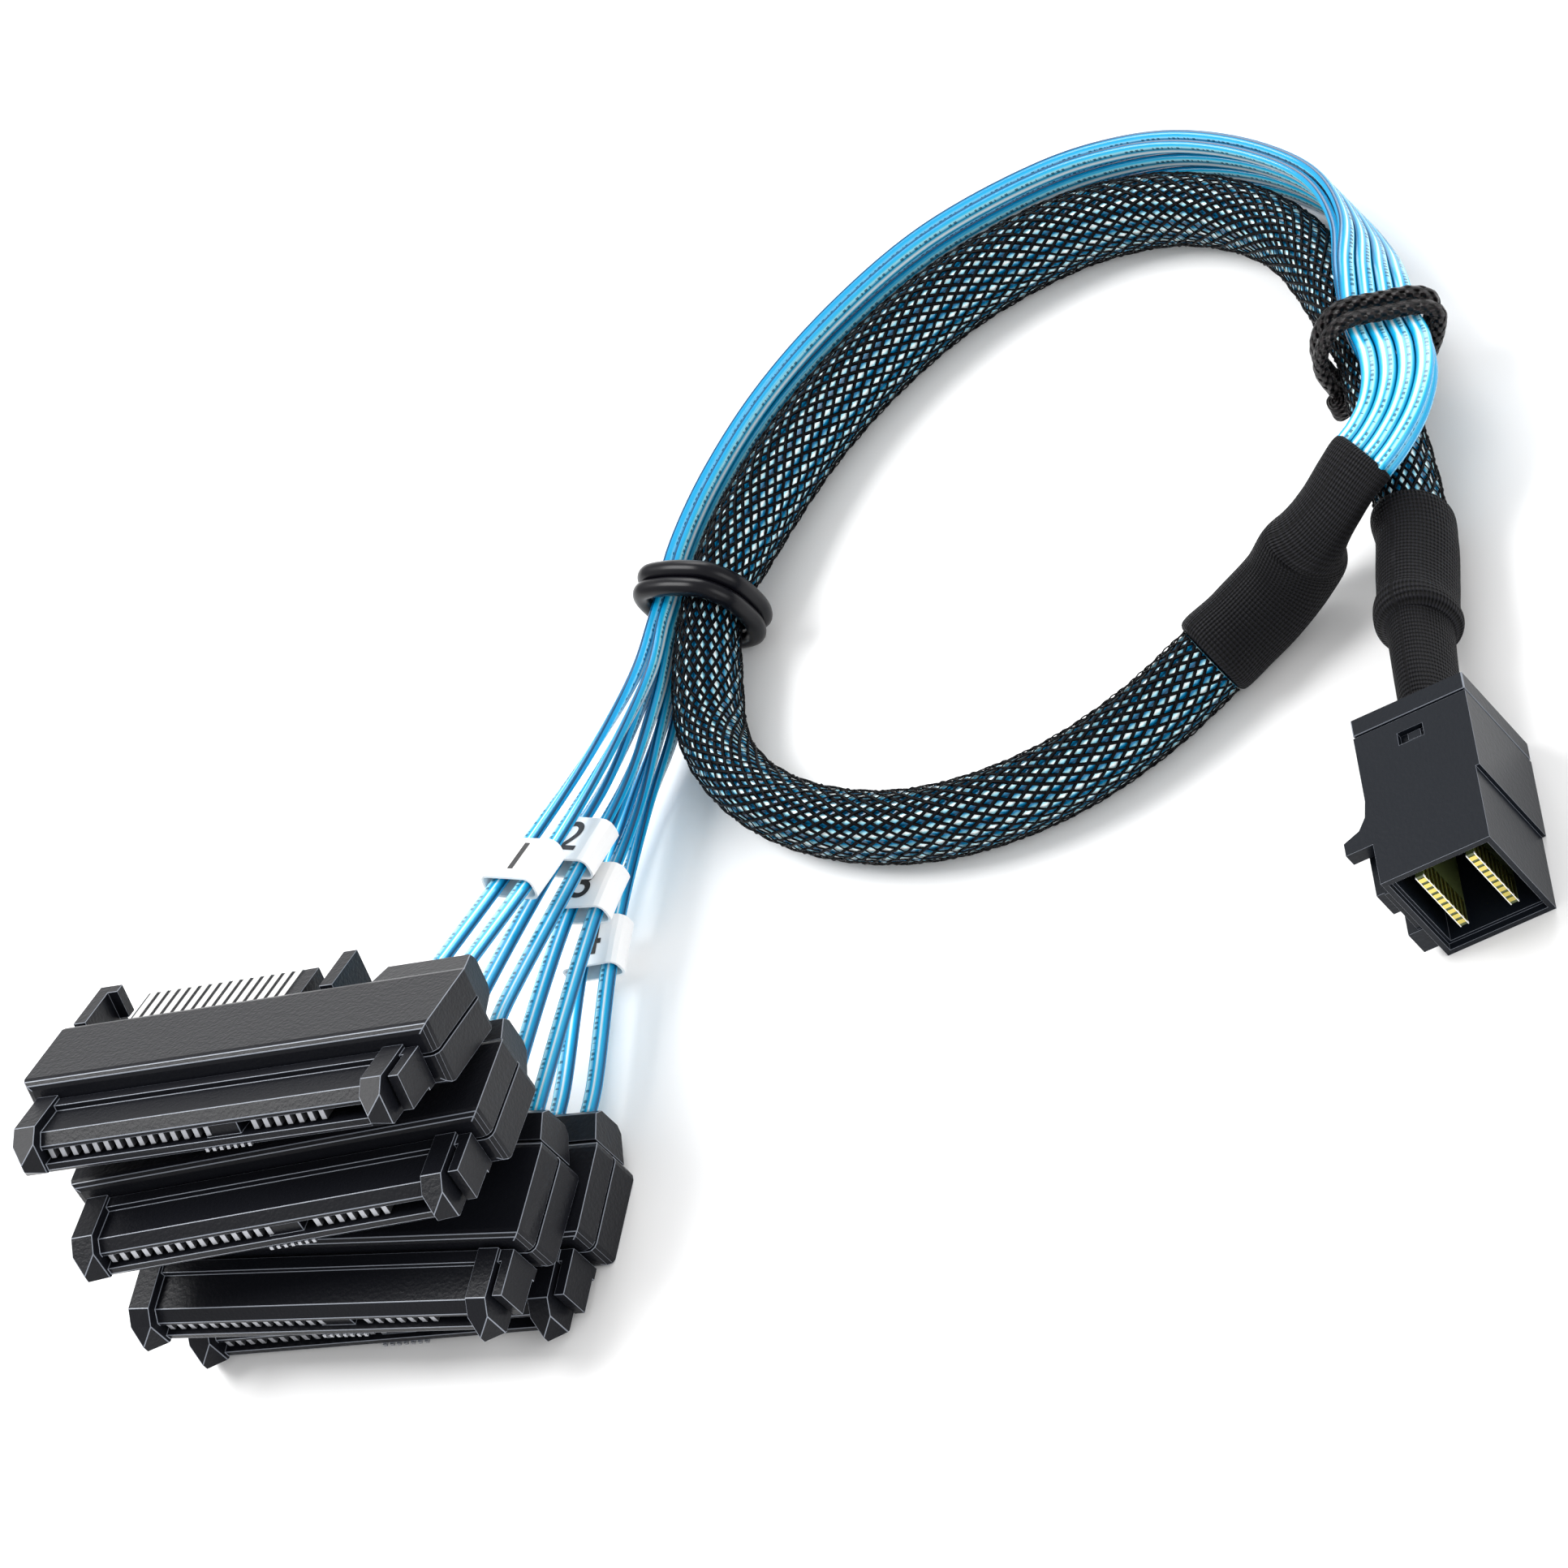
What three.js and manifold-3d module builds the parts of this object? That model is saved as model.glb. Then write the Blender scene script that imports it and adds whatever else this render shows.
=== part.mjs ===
// Breakout cable: one square plug, a braided loop, eight flat ribbons and four drive connectors.
// Millimetres, +Z up, everything at rest on the plane z = 0.
import * as THREE from "three";
import { mergeVertices } from "three/addons/utils/BufferGeometryUtils.js";
import Module from "manifold-3d";

const wasm = await Module();
wasm.setup();

// Middle of the hard pieces, taken off every place below so that the part stands on its origin.
const MIDDLE = [-8.85, -11.6];

// Square plug: width along X, height along Z, mouth at its own y = 0.
const PLUG_AT = [58.4, -31.9];
const PLUG_WIDTH = 11.2;
const PLUG_HEIGHT = 13.4;
const PLUG_LENGTH = 16.9;
const PLUG_COVER = 1.8;
const PLUG_STEP = 8.2;
const MOUTH_DEPTH = 9.5;
const CARD_SPACING = 5.2;
const CARD_THICK = 0.8;
const GAP = 0.3;

// Drive connector: width along X, front face at its own y = 0.
const COVER_WIDTH = 46;
const COVER_DEPTH = 10.3;
const COVER_HEIGHT = 6.85;
const SEAM_HEIGHT = 3.6;
const CABLE_BLOCK_X = 16.8;
const RIBBON_SPREAD = 3.6;
const CONNECTORS = [
  { at: [-59.0, -11.9, 25.6], yaw: -17.7, nose: 27.5 },
  { at: [-58.7, -17.1, 17.1], yaw: -15.5, nose: 15 },
  { at: [-59.5, -20.0, 7.15], yaw: -23.2, nose: 0 },
  { at: [-57.3, -18.0, 0], yaw: -20.4, nose: 0 },
];

// Sections of the cords, as width across and height.
const BRAID = [6.6, 8.8];
const SLEEVE_STEPS = 42;
const RIBBON = [0.88, 1.6];
const RIBBON_COLUMN = 1.12;

// The ties squeeze the sleeve by this share, fading out over this distance.
const CINCH = 0.16;
const CINCH_REACH = 6;
const CORD_TIE_AT = [58.3, 33.3, 5.9];
const RUBBER_TIE_AT = [-12.7, 39.5, 6.3];

// Route of the braided sleeve, from the plug's tape round the loop to the fan-out tape.
const BRAID_ROUTE = [
  [59.4, 13.5, 4.9],
  [59.4, 16.5, 5.0],
  [59.2, 23.0, 5.6],
  [58.7, 29.0, 5.8],
  CORD_TIE_AT,
  [57.4, 37.8, 5.6],
  [55.6, 45.0, 4.8],
  [52.6, 52.3, 4.4],
  [48.0, 58.0, 4.4],
  [41.5, 62.7, 4.4],
  [35.3, 65.0, 4.4],
  [28.6, 66.0, 4.4],
  [17.5, 65.0, 4.4],
  [8.1, 61.6, 4.4],
  [0.0, 56.4, 4.6],
  [-6.6, 49.6, 5.2],
  [-11.0, 42.9, 6.1],
  RUBBER_TIE_AT,
  [-14.5, 34.2, 5.5],
  [-15.6, 25.8, 4.4],
  [-13.2, 18.9, 4.4],
  [-8.5, 12.8, 4.4],
  [-2.0, 7.8, 4.4],
  [5.1, 4.5, 4.4],
  [13.0, 2.9, 4.4],
  [21.2, 3.0, 4.4],
  [29.7, 5.1, 4.4],
  [36.9, 8.2, 4.6],
];

// Route of the ribbon bundle, from the fan-out tape to the rubber tie.
// The fourth number is its lean: 90 lies flat with the top row inwards, 0 stands on edge.
// The last one is the distance from row to row.
const BUNDLE_ROUTE = [
  [58.6, 17.6, 11.5, 90, 1.8],
  [60.0, 18.6, 11.6, 90, 1.8],
  [62.0, 21.0, 11.6, 88, 1.8],
  [63.2, 24.2, 11.4, 82, 1.8],
  [63.2, 28.4, 10.7, 72, 1.8],
  [61.9, 33.6, 9.5, 62, 1.8],
  [61.35, 40.3, 8.6, 40, 1.8],
  [60.3, 47.5, 6.3, 12, 1.9],
  [57.2, 55.6, 4.7, 0, 2.0],
  [51.6, 62.3, 4.5, 0, 2.1],
  [43.8, 67.7, 4.5, 0, 2.3],
  [36.4, 70.3, 4.5, 0, 2.4],
  [28.8, 71.3, 4.5, 0, 2.4],
  [16.4, 70.2, 4.5, 0, 2.4],
  [5.6, 66.3, 4.5, 0, 2.2],
  [-3.6, 60.4, 4.7, 0, 2.0],
  [-10.6, 52.8, 5.2, 0, 1.85],
  [-14.8, 45.5, 5.8, 0, 1.8],
  [-16.3, 41.4, 5.9, 0, 1.8],
  [-17.7, 38.4, 5.9, 0, 1.8],
];

// Middle of each connector's pair on its way down the fan, and how far it has turned flat.
const FAN = [
  [[-19.7, 32.7, 9.3, 15], [-24.6, 23.8, 11.2, 50], [-31.0, 11.6, 15.6, 85]],
  [[-20.3, 30.9, 7.4, 15], [-24.5, 21.7, 8.7, 50], [-30.3, 11.3, 11.6, 85]],
  [[-20.9, 29.7, 5.5, 15], [-25.0, 20.0, 6.1, 50], [-30.4, 8.5, 8.2, 85]],
  [[-21.0, 29.3, 3.5, 15], [-25.4, 21.9, 3.3, 50], [-30.9, 9.8, 3.3, 85]],
];

const group = new THREE.Group();

function finish(color, roughness, metalness = 0) {
  return { color, roughness, metalness };
}

const BLACK = finish(0x17181c, 0.55);
const WEAVE = finish(0x121214, 0.9);
const BRAIDED = finish(0x16222c, 0.8);
const BLUE = finish(0x2aa9dc, 0.35);
const WHITE = finish(0xf4f4f2, 0.6);
const RUBBER = finish(0x0c0c0d, 0.45);
const CARD = finish(0x2f5a2c, 0.5);

function add(name, geometry, look, parent = group) {
  const mesh = new THREE.Mesh(geometry, new THREE.MeshStandardMaterial(look));
  mesh.name = name;
  parent.add(mesh);
  return mesh;
}

// Solid body from a closed three.js geometry.
function solid(geometry) {
  const bare = geometry.index ? geometry.toNonIndexed() : geometry.clone();
  bare.deleteAttribute("normal");
  bare.deleteAttribute("uv");
  const merged = mergeVertices(bare, 1e-4);
  const vertProperties = new Float32Array(merged.attributes.position.array);
  const triVerts = new Uint32Array(merged.index.array);
  return new wasm.Manifold(new wasm.Mesh({ numProp: 3, vertProperties, triVerts }));
}

function geometryOf(body) {
  const mesh = body.getMesh();
  const positions = new Float32Array(mesh.numVert * 3);
  for (let i = 0; i < mesh.numVert; i += 1) {
    for (let j = 0; j < 3; j += 1) {
      positions[3 * i + j] = mesh.vertProperties[i * mesh.numProp + j];
    }
  }
  const geometry = new THREE.BufferGeometry();
  geometry.setAttribute("position", new THREE.BufferAttribute(positions, 3));
  geometry.setIndex(new THREE.BufferAttribute(new Uint32Array(mesh.triVerts), 1));
  geometry.computeVertexNormals();
  return geometry;
}

function join(...geometries) {
  return geometryOf(geometries.map(solid).reduce((a, b) => a.add(b)));
}

function cut(geometry, ...tools) {
  return geometryOf(tools.map(solid).reduce((a, b) => a.subtract(b), solid(geometry)));
}

function common(...geometries) {
  return geometryOf(geometries.map(solid).reduce((a, b) => a.intersect(b)));
}

function box(x0, x1, y0, y1, z0, z1) {
  const made = new THREE.BoxGeometry(x1 - x0, y1 - y0, z1 - z0);
  return made.translate((x0 + x1) / 2, (y0 + y1) / 2, (z0 + z1) / 2);
}

function shapeOf(points) {
  return new THREE.Shape(points.map(([x, y]) => new THREE.Vector2(x, y)));
}

// Prism of an XY outline between two heights.
function prismZ(points, z0, z1) {
  const made = new THREE.ExtrudeGeometry(shapeOf(points), { depth: z1 - z0, bevelEnabled: false });
  return made.translate(0, 0, z0);
}

// Prism of a YZ outline between two places along X.
function prismX(points, x0, x1) {
  const made = new THREE.ExtrudeGeometry(shapeOf(points), { depth: x1 - x0, bevelEnabled: false });
  made.rotateX(Math.PI / 2);
  made.rotateZ(Math.PI / 2);
  return made.translate(x0, 0, 0);
}

// Outline of a rectangle with rounded corners.
function roundedOutline(x0, x1, y0, y1, radius, steps = 3) {
  const corners = [
    [x1 - radius, y1 - radius, 0],
    [x0 + radius, y1 - radius, 90],
    [x0 + radius, y0 + radius, 180],
    [x1 - radius, y0 + radius, 270],
  ];
  return corners.flatMap(([cx, cy, start]) =>
    Array.from({ length: steps + 1 }, (_, i) => {
      const angle = THREE.MathUtils.degToRad(start + (90 * i) / steps);
      return [cx + radius * Math.cos(angle), cy + radius * Math.sin(angle)];
    }),
  );
}

// Block with the edges along X and the upright edges rounded.
function softBlock(x0, x1, y0, y1, z0, z1, radius) {
  return common(
    prismX(roundedOutline(y0, y1, z0, z1, radius), x0, x1),
    prismZ(roundedOutline(x0, x1, y0, y1, radius), z0, z1),
  );
}

// Smooth run whose section keeps its own lean from the upright, in degrees at each point.
class LevelRun extends THREE.CatmullRomCurve3 {
  constructor(points, leans = points.map(() => 0)) {
    super(points.map((p) => new THREE.Vector3(p[0], p[1], p[2])), false, "centripetal");
    this.leans = leans;
  }

  leanAt(u) {
    const t = this.getUtoTmapping(u) * (this.leans.length - 1);
    const i = Math.min(Math.floor(t), this.leans.length - 2);
    return THREE.MathUtils.lerp(this.leans[i], this.leans[i + 1], t - i);
  }

  computeFrenetFrames(segments) {
    const tangents = [];
    const normals = [];
    const binormals = [];
    for (let i = 0; i <= segments; i += 1) {
      const u = i / segments;
      const tangent = this.getTangentAt(u);
      const upright = new THREE.Vector3(0, 0, 1).addScaledVector(tangent, -tangent.z).normalize();
      upright.applyAxisAngle(tangent, THREE.MathUtils.degToRad(-this.leanAt(u)));
      tangents.push(tangent);
      normals.push(upright);
      binormals.push(new THREE.Vector3().crossVectors(tangent, upright));
    }
    return { tangents, normals, binormals };
  }
}

// Oval outline: its height lies along the run's normal and its width across it.
function ovalOutline(width, height, sides) {
  return Array.from({ length: sides }, (_, i) => {
    const angle = (2 * Math.PI * (i + 0.5)) / sides;
    return [(height / 2) * Math.cos(angle), (width / 2) * Math.sin(angle)];
  });
}

function sweep(outline, run, steps, hole) {
  const shape = shapeOf(outline);
  if (hole) {
    shape.holes.push(new THREE.Path(hole.map(([x, y]) => new THREE.Vector2(x, y))));
  }
  return new THREE.ExtrudeGeometry(shape, { steps, bevelEnabled: false, extrudePath: run });
}

// Square plug
function plugShell() {
  const half = PLUG_WIDTH / 2;
  const body = prismZ(
    [
      [-half, 0],
      [half, 0],
      [half, PLUG_STEP],
      [half + 0.4, PLUG_STEP],
      [half + 0.4, PLUG_LENGTH],
      [-half, PLUG_LENGTH],
    ],
    0,
    PLUG_HEIGHT,
  );
  const ledge = prismZ(
    [
      [-half + 0.5, 4.6],
      [-half + 0.5, 9.6],
      [-half, 9.6],
      [-half - 0.3, 7.9],
      [-half - 1.1, 6.7],
      [-half - 2.8, 6.0],
      [-half - 2.8, 4.6],
    ],
    PLUG_HEIGHT - 1.6,
    PLUG_HEIGHT,
  );
  const web = box(-half - 0.6, -half + 0.5, 0.4, 6.4, 1.6, 11.3);
  const upperBlock = box(-half - 1.4, -half + 0.5, 0.6, 6.2, 7.9, 11.3);
  const lowerBlock = box(-half - 1.6, -half + 0.5, 0.2, 5.4, 1.6, 4.8);
  const mouth = box(-half + 0.9, half - 0.9, -1, MOUTH_DEPTH, 1.0, PLUG_HEIGHT - 1.0);
  const rim = box(-half + 0.55, half - 0.55, -1, 0.7, 0.65, PLUG_HEIGHT - 0.65);
  const slot = box(-1.3, 1.3, PLUG_LENGTH - 2.9, PLUG_LENGTH - 1.5, PLUG_HEIGHT - 0.7, PLUG_HEIGHT + 1);
  const outer = join(body, ledge, web, upperBlock, lowerBlock);
  return join(cut(outer, mouth, rim, slot), box(-0.4, 0.9, 14.3, 15.1, PLUG_HEIGHT - 1.2, PLUG_HEIGHT - 0.3));
}

const plug = new THREE.Group();
plug.position.set(PLUG_AT[0], PLUG_AT[1], 0);
group.add(plug);
add("plug_shell", plugShell(), BLACK, plug);
const coverStart = PLUG_LENGTH + GAP;
const plugBack = coverStart + PLUG_COVER;
add(
  "plug_cover",
  box(-PLUG_WIDTH / 2, PLUG_WIDTH / 2 + 0.4, coverStart, plugBack, 0, PLUG_HEIGHT),
  BLACK,
  plug,
);
for (const side of [-1, 1]) {
  const x = (side * CARD_SPACING) / 2;
  const pads = Array.from({ length: 9 }, (_, i) =>
    box(x - CARD_THICK / 2 - 0.05, x + CARD_THICK / 2 + 0.05, 0.9, 3.2, 2.62 + 0.95 * i, 3.18 + 0.95 * i),
  );
  const card = box(x - CARD_THICK / 2, x + CARD_THICK / 2, 0.8, MOUTH_DEPTH - GAP, 2.2, 11.2);
  add(side < 0 ? "plug_card_left" : "plug_card_right", join(card, ...pads), CARD, plug);
}

// Woven tape on the plug's end: a narrow layer next to the plug, a wide one with a rolled hem.
const plugRear = PLUG_AT[1] + plugBack;
const narrowRun = new LevelRun([
  [58.3, plugRear + GAP, 6.7],
  [58.4, -6.5, 6.6],
  [58.5, 0.0, 6.0],
]);
const wideRun = new LevelRun([
  [58.5, 0.5, 6.0],
  [58.9, 6.0, 5.3],
  [59.4, 10.6, 4.9],
  [59.4, 13.1, 4.9],
]);
const hemRun = new LevelRun([
  [58.5, 1.0, 6.0],
  [58.6, 2.6, 5.8],
]);
add("plug_tape_narrow", sweep(ovalOutline(5.6, 8.4, 12), narrowRun, 4), WEAVE);
add(
  "plug_tape_wide",
  join(
    sweep(ovalOutline(7.4, 9.4, 12), wideRun, 4),
    sweep(ovalOutline(8.2, 10.2, 12), hemRun, 1),
  ),
  WEAVE,
);

// Braided sleeve round the loop, drawn in where a tie squeezes it
function cinched(geometry, stations) {
  const places = geometry.getAttribute("position");
  const ties = [CORD_TIE_AT, RUBBER_TIE_AT].map((at) => new THREE.Vector3(...at));
  const vertex = new THREE.Vector3();
  for (let i = 0; i < places.count; i += 1) {
    vertex.fromBufferAttribute(places, i);
    const middle = stations.reduce((a, b) => (a.distanceTo(vertex) < b.distanceTo(vertex) ? a : b));
    const near = Math.min(...ties.map((tie) => tie.distanceTo(middle)));
    const size = 1 - CINCH * Math.exp(-((near / CINCH_REACH) ** 2));
    vertex.sub(middle).multiplyScalar(size).add(middle);
    places.setXYZ(i, vertex.x, vertex.y, vertex.z);
  }
  return geometry;
}

const sleeveRun = new LevelRun(BRAID_ROUTE);
const sleeve = sweep(ovalOutline(BRAID[0], BRAID[1], 12), sleeveRun, SLEEVE_STEPS);
add("braided_sleeve", cinched(sleeve, sleeveRun.getSpacedPoints(SLEEVE_STEPS)), BRAIDED);

// Fan-out tape: thick over the sleeve's end, thinner over the bare ribbons
const fanStart = new LevelRun([
  [37.2, 8.4, 4.8],
  [43.4, 11.5, 4.9],
  [48.9, 13.7, 6.6],
  [51.4, 14.4, 8.0],
]);
const fanEnd = new LevelRun([
  [47.5, 13.0, 6.4],
  [50.8, 13.6, 8.6],
  [54.0, 14.8, 10.4],
  [56.3, 16.1, 11.3],
  [58.3, 17.4, 11.5],
]);
add(
  "fanout_tape",
  join(
    sweep(ovalOutline(7.5, 9.5, 12), fanStart, 6),
    sweep(ovalOutline(7.8, 3.4, 12), fanEnd, 6),
  ),
  WEAVE,
);

// Drive connectors
function placed(k) {
  const { at, yaw, nose } = CONNECTORS[k];
  const holder = new THREE.Group();
  holder.position.set(at[0], at[1], at[2]);
  const turn = [THREE.MathUtils.degToRad(-nose), 0, THREE.MathUtils.degToRad(yaw)];
  holder.rotation.set(turn[0], turn[1], turn[2], "ZXY");
  holder.updateMatrix();
  return holder;
}

function lowerCover() {
  const half = COVER_WIDTH / 2;
  const whole = softBlock(-half, half, 0, COVER_DEPTH, 0, COVER_HEIGHT, 0.9);
  return common(whole, box(-half - 1, half + 1, -1, COVER_DEPTH + 1, -1, SEAM_HEIGHT - GAP / 2));
}

function upperCover() {
  const half = COVER_WIDTH / 2;
  const whole = softBlock(-half, half, 0, COVER_DEPTH, 0, COVER_HEIGHT, 0.9);
  return common(whole, box(-half - 1, half + 1, -1, COVER_DEPTH + 1, SEAM_HEIGHT + GAP / 2, 10));
}

function arm(x0, x1) {
  const middle = (x0 + x1) / 2;
  const top = prismZ([[x0, -GAP], [x0, -7.0], [middle, -8.6], [x1, -7.0], [x1, -GAP]], 0.7, 5.3);
  const side = prismX([[-GAP, 0.7], [-6.8, 0.7], [-8.7, 2.2], [-8.7, 2.8], [-5.6, 5.3], [-GAP, 5.3]], x0 - 1, x1 + 1);
  return common(top, side);
}

function driveSocket() {
  const back = box(-21.6, 21.6, -1.6, -GAP, 0.7, 4.9);
  const roof = prismX([[-6.2, 2.9], [-6.2, 3.3], [-5.2, 4.3], [-1, 4.3], [-1, 2.9]], -19.4, 18.2);
  const floor = prismX([[-6.6, 0.9], [-6.3, 0.5], [-1, 0.5], [-1, 1.6], [-6.6, 1.6]], -19.4, 18.2);
  const keyWall = box(-0.9, 2.9, -6.0, -1, 1.5, 3.0);
  const outerRib = box(20.5, 21.6, -5.2, -1, 1.0, 4.9);
  return join(back, roof, floor, keyWall, arm(-21.6, -19.2), arm(17.8, 20.1), outerRib);
}

function powerPlug() {
  const y = COVER_DEPTH + GAP;
  const plate = box(-22.4, 8.6, y, y + 0.9, 2.0, 5.6);
  const tongue = box(-17.0, 1.6, y, y + 5.8, 4.2, 5.5);
  const tallPost = box(-22.4, -21.0, y, y + 6.4, 2.0, 6.6);
  const hook = box(-22.4, -19.9, y + 5.2, y + 6.4, 3.6, 6.6);
  const shortPost = box(2.4, 3.6, y, y + 4.6, 2.0, 6.2);
  const nearPost = box(6.0, 7.5, y, y + 6.0, 2.0, 6.7);
  return join(plate, tongue, tallPost, hook, shortPost, nearPost);
}

function cableBlock() {
  const y = COVER_DEPTH + GAP;
  const side = prismX([[y, 0.9], [y + 3.2, 1.3], [y + 3.8, 2.0], [y + 3.8, 5.0], [y + 3.0, 6.0], [y, 6.2]], 10, 24);
  const top = prismZ([[11.6, y], [12.2, y + 3.8], [21.2, y + 3.8], [22.2, y]], 0, 7);
  return common(side, top);
}

const holders = CONNECTORS.map((_, k) => placed(k));
holders.forEach((holder, k) => {
  const label = k + 1;
  group.add(holder);
  add("cover_lower_" + label, lowerCover(), BLACK, holder);
  add("cover_upper_" + label, upperCover(), BLACK, holder);
  add("drive_socket_" + label, driveSocket(), BLACK, holder);
  add("power_plug_" + label, powerPlug(), BLACK, holder);
  add("cable_block_" + label, cableBlock(), BLACK, holder);
});

// Ribbons: four rows of two. Row 1 is the top one and belongs to connector 1.
const UP = new THREE.Vector3(0, 0, 1);

function bundlePoints(column, row) {
  const middle = new LevelRun(BUNDLE_ROUTE);
  return BUNDLE_ROUTE.map(([x, y, z, lean, spacing], i) => {
    const tangent = middle.getTangent(i / (BUNDLE_ROUTE.length - 1));
    const upright = UP.clone().addScaledVector(tangent, -tangent.z).normalize();
    upright.applyAxisAngle(tangent, THREE.MathUtils.degToRad(-lean));
    const across = new THREE.Vector3().crossVectors(tangent, upright);
    const place = new THREE.Vector3(x, y, z);
    place.addScaledVector(across, (column - 0.5) * RIBBON_COLUMN);
    place.addScaledVector(upright, (1.5 - row) * spacing);
    return [place.x, place.y, place.z];
  });
}

function fanPoints(k, column) {
  const holder = holders[k];
  const y = COVER_DEPTH + 2 * GAP + 3.8;
  const x = CABLE_BLOCK_X + (0.5 - column) * RIBBON_SPREAD;
  const exit = [y + 3.0, y].map((depth) =>
    new THREE.Vector3(x, depth, 3.5).applyMatrix4(holder.matrix).toArray(),
  );
  const spreads = [0.5, 0.75, 0.95];
  const middle = FAN[k].map(([px, py, pz], i) => {
    const across = new THREE.Vector3(-0.91, 0.41, 0);
    const place = new THREE.Vector3(px, py, pz);
    const apart = THREE.MathUtils.lerp(RIBBON_COLUMN, RIBBON_SPREAD, spreads[i]);
    return place.addScaledVector(across, (column - 0.5) * apart).toArray();
  });
  return [...middle, ...exit];
}

function ribbonRun(k, column) {
  const points = [...bundlePoints(column, k), ...fanPoints(k, column)];
  const leans = [...BUNDLE_ROUTE.map((p) => p[3]), ...FAN[k].map((p) => p[3]), 90, 90];
  return new LevelRun(points, leans);
}

CONNECTORS.forEach((_, k) => {
  for (const column of [0, 1]) {
    const name = "ribbon_" + (k + 1) + (column ? "_outer" : "_inner");
    add(name, sweep(ovalOutline(RIBBON[0], RIBBON[1], 8), ribbonRun(k, column), 44), BLUE);
  }
});

// White wrap labels, one round each pair, placed by their distance from the cable block
const LABEL_BACK = [16, 24.5, 26, 19];
const LABEL_LENGTH = 5.5;
const LABEL_WIDTH = 6.3;
const LABEL_HEIGHT = 2.8;
const LABEL_WALL = 0.3;

function labelBand(k) {
  const inner = ribbonRun(k, 0);
  const outer = ribbonRun(k, 1);
  const stations = [-0.5, 0, 0.5].map((s) => {
    const back = LABEL_BACK[k] + s * LABEL_LENGTH;
    const a = inner.getPointAt(1 - back / inner.getLength());
    const b = outer.getPointAt(1 - back / outer.getLength());
    return a.add(b).multiplyScalar(0.5).toArray();
  });
  const halfHeight = LABEL_HEIGHT / 2;
  const halfWidth = LABEL_WIDTH / 2;
  const outside = roundedOutline(-halfHeight, halfHeight, -halfWidth, halfWidth, 1.0);
  const inside = roundedOutline(
    LABEL_WALL - halfHeight,
    halfHeight - LABEL_WALL,
    LABEL_WALL - halfWidth,
    halfWidth - LABEL_WALL,
    0.7,
  );
  return sweep(outside, new LevelRun(stations), 2, inside.reverse());
}

CONNECTORS.forEach((_, k) => {
  add("label_" + (k + 1), labelBand(k), WHITE);
});

// Ties: each is two turns round the sleeve and the ribbon bundle.
function ring(outline, centre, along, radius, slip) {
  const ahead = new THREE.Vector3(along[0], along[1], 0).normalize();
  const outwards = new THREE.Vector3(ahead.y, -ahead.x, 0);
  const points = outline.map(([s, z]) =>
    new THREE.Vector3(centre[0], centre[1], centre[2] + z)
      .addScaledVector(outwards, s)
      .addScaledVector(ahead, slip),
  );
  const path = new THREE.CatmullRomCurve3(points, true, "centripetal");
  return new THREE.TubeGeometry(path, 24, radius, 7, true);
}

const RUBBER_OUTLINE = [
  [-4.2, 0], [-3.7, 2.9], [-1.9, 4.8], [0.8, 5.2], [3.2, 5.0], [5.4, 4.35], [6.35, 3.0],
  [6.4, -1.0], [6.35, -4.0], [5.2, -5.2], [2.8, -5.25], [0, -5.15], [-2.8, -4.2], [-4.0, -2.1],
];
const rubberAlong = [-0.46, -0.89];
const RUBBER_RADIUS = 0.95;
const RUBBER_SLIP = 0.85;
add(
  "rubber_tie",
  join(
    ring(RUBBER_OUTLINE, RUBBER_TIE_AT, rubberAlong, RUBBER_RADIUS, -RUBBER_SLIP),
    ring(RUBBER_OUTLINE, RUBBER_TIE_AT, rubberAlong, RUBBER_RADIUS, RUBBER_SLIP),
  ),
  RUBBER,
);

const CORD_OUTLINE = [
  [-3.95, 0.1], [-3.7, 2.7], [-2.5, 5.0], [-0.6, 6.7], [1.4, 7.2], [4.7, 5.75], [7.9, 4.05],
  [8.8, 2.4], [7.5, 0.0], [5.1, -2.5], [2.8, -4.1], [0, -4.9], [-2.6, -3.95], [-3.8, -1.8],
];
const cordAlong = [-0.08, 1];
const CORD_RADIUS = 0.75;
const CORD_SLIP = 0.66;
const knot = new THREE.IcosahedronGeometry(1.4, 1).translate(54.2, 31.3, 3.7);
add(
  "cord_tie",
  join(
    ring(CORD_OUTLINE, CORD_TIE_AT, cordAlong, CORD_RADIUS, -CORD_SLIP),
    ring(CORD_OUTLINE, CORD_TIE_AT, cordAlong, CORD_RADIUS, CORD_SLIP),
    knot,
  ),
  WEAVE,
);

group.position.set(-MIDDLE[0], -MIDDLE[1], 0);

export default group;
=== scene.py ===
# %% [markdown]
# # Drawing a breakout cable
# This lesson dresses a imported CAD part: a storage cable with a square plug at one end and
# four drive connectors at the other. The CAD model gives every hard piece its true place.
# Here we add what CAD leaves out: an open braid, clear blue ribbons, woven tape, cord and contacts.

# %% Load the frame
import math

import bpy
import numpy as np
from mathutils import Matrix, Vector


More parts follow.
